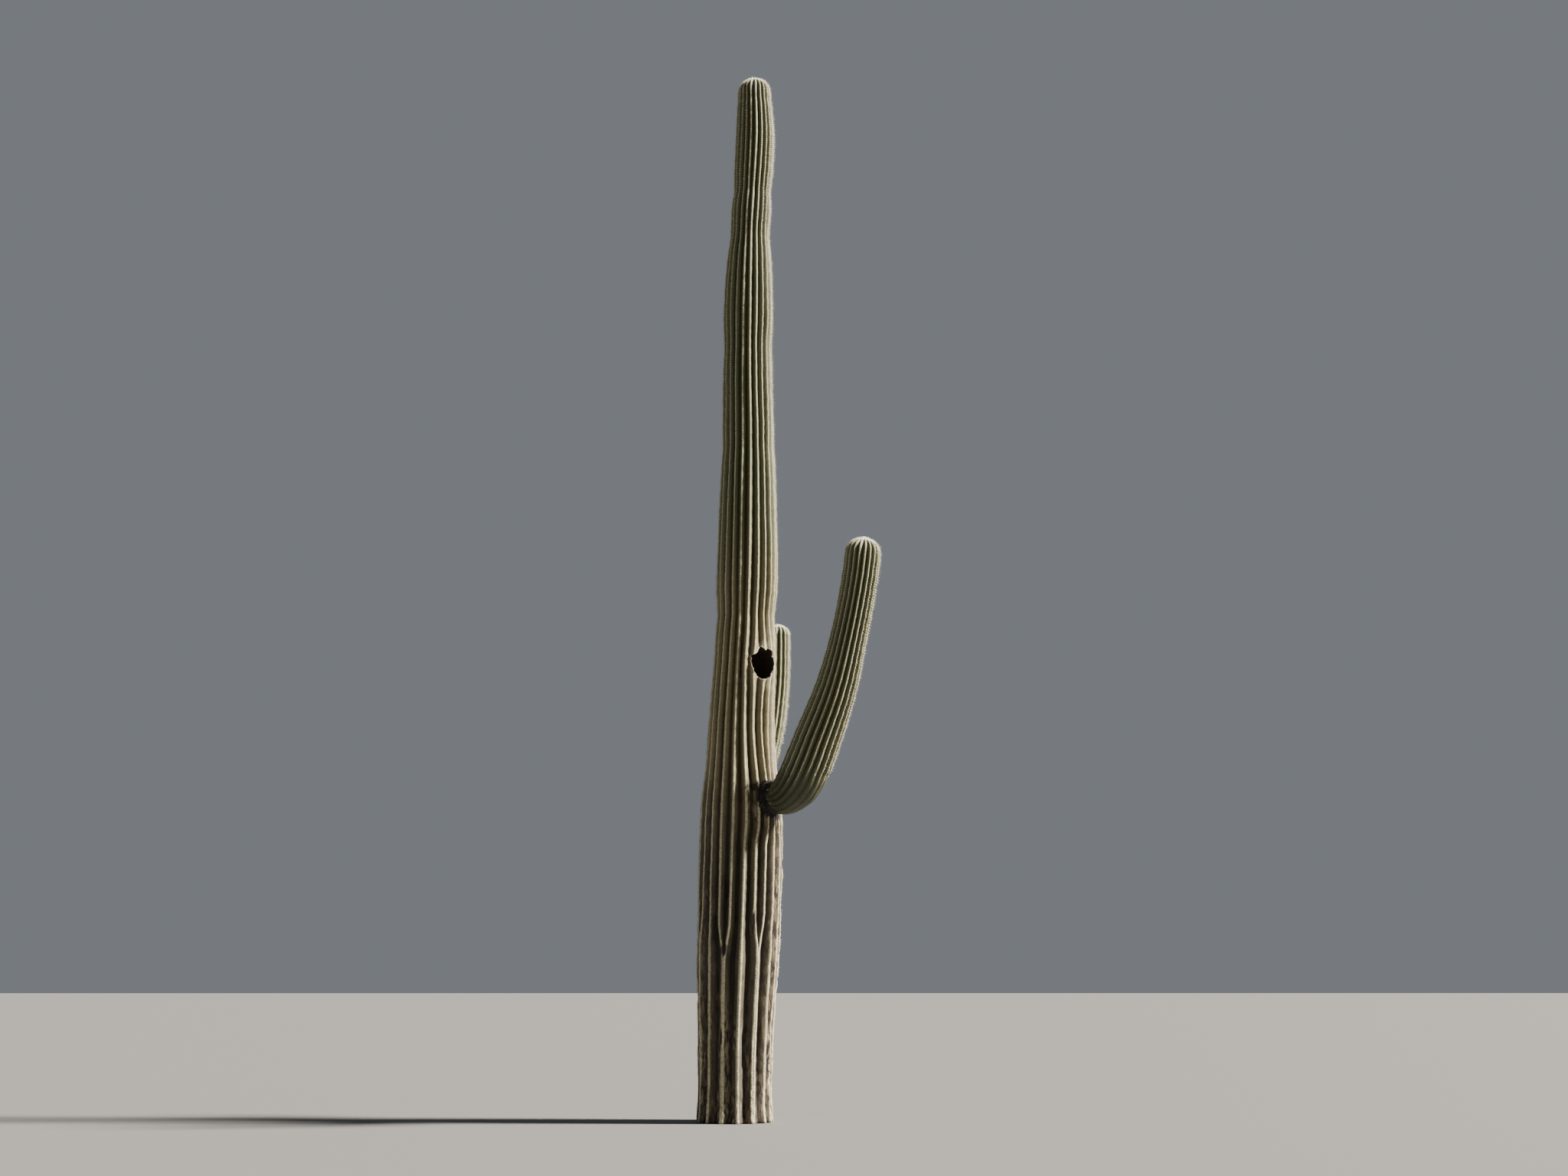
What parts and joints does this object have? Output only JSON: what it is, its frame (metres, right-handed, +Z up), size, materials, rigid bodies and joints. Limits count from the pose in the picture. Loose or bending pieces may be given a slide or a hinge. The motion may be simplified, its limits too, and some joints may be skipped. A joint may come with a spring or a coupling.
{
  "type": "saguaro cactus",
  "caption": "Tall ribbed columnar cactus, cut flat at ground level, with a nest hole in its trunk, a stout upturned arm at the front right and a slim arm behind.",
  "frame": {"origin": "centre of the flat cut under the trunk, at ground level", "axes": "+Z up along the plant, +X to the right and +Y to the back as pictured"},
  "size_m": [1.3448, 1.3985, 8.2],
  "materials": {
    "trunk_skin": "waxy olive skin in the valleys, corky pinkish tan low down",
    "arm_skin": "waxy olive green skin with faint growth bands",
    "spines": "dry cream to grey spines",
    "felt": "dull cream felt pads along the rib crests",
    "scar": "black-brown cracked cork round the arm's foot and wounds"
  },
  "bodies": {
    "root": {"trunk": "trunk_skin", "front_arm_elbow": "arm_skin", "front_arm_upper": "arm_skin", "rear_arm_elbow": "arm_skin", "rear_arm_upper": "arm_skin"}
  },
  "joints": []
}
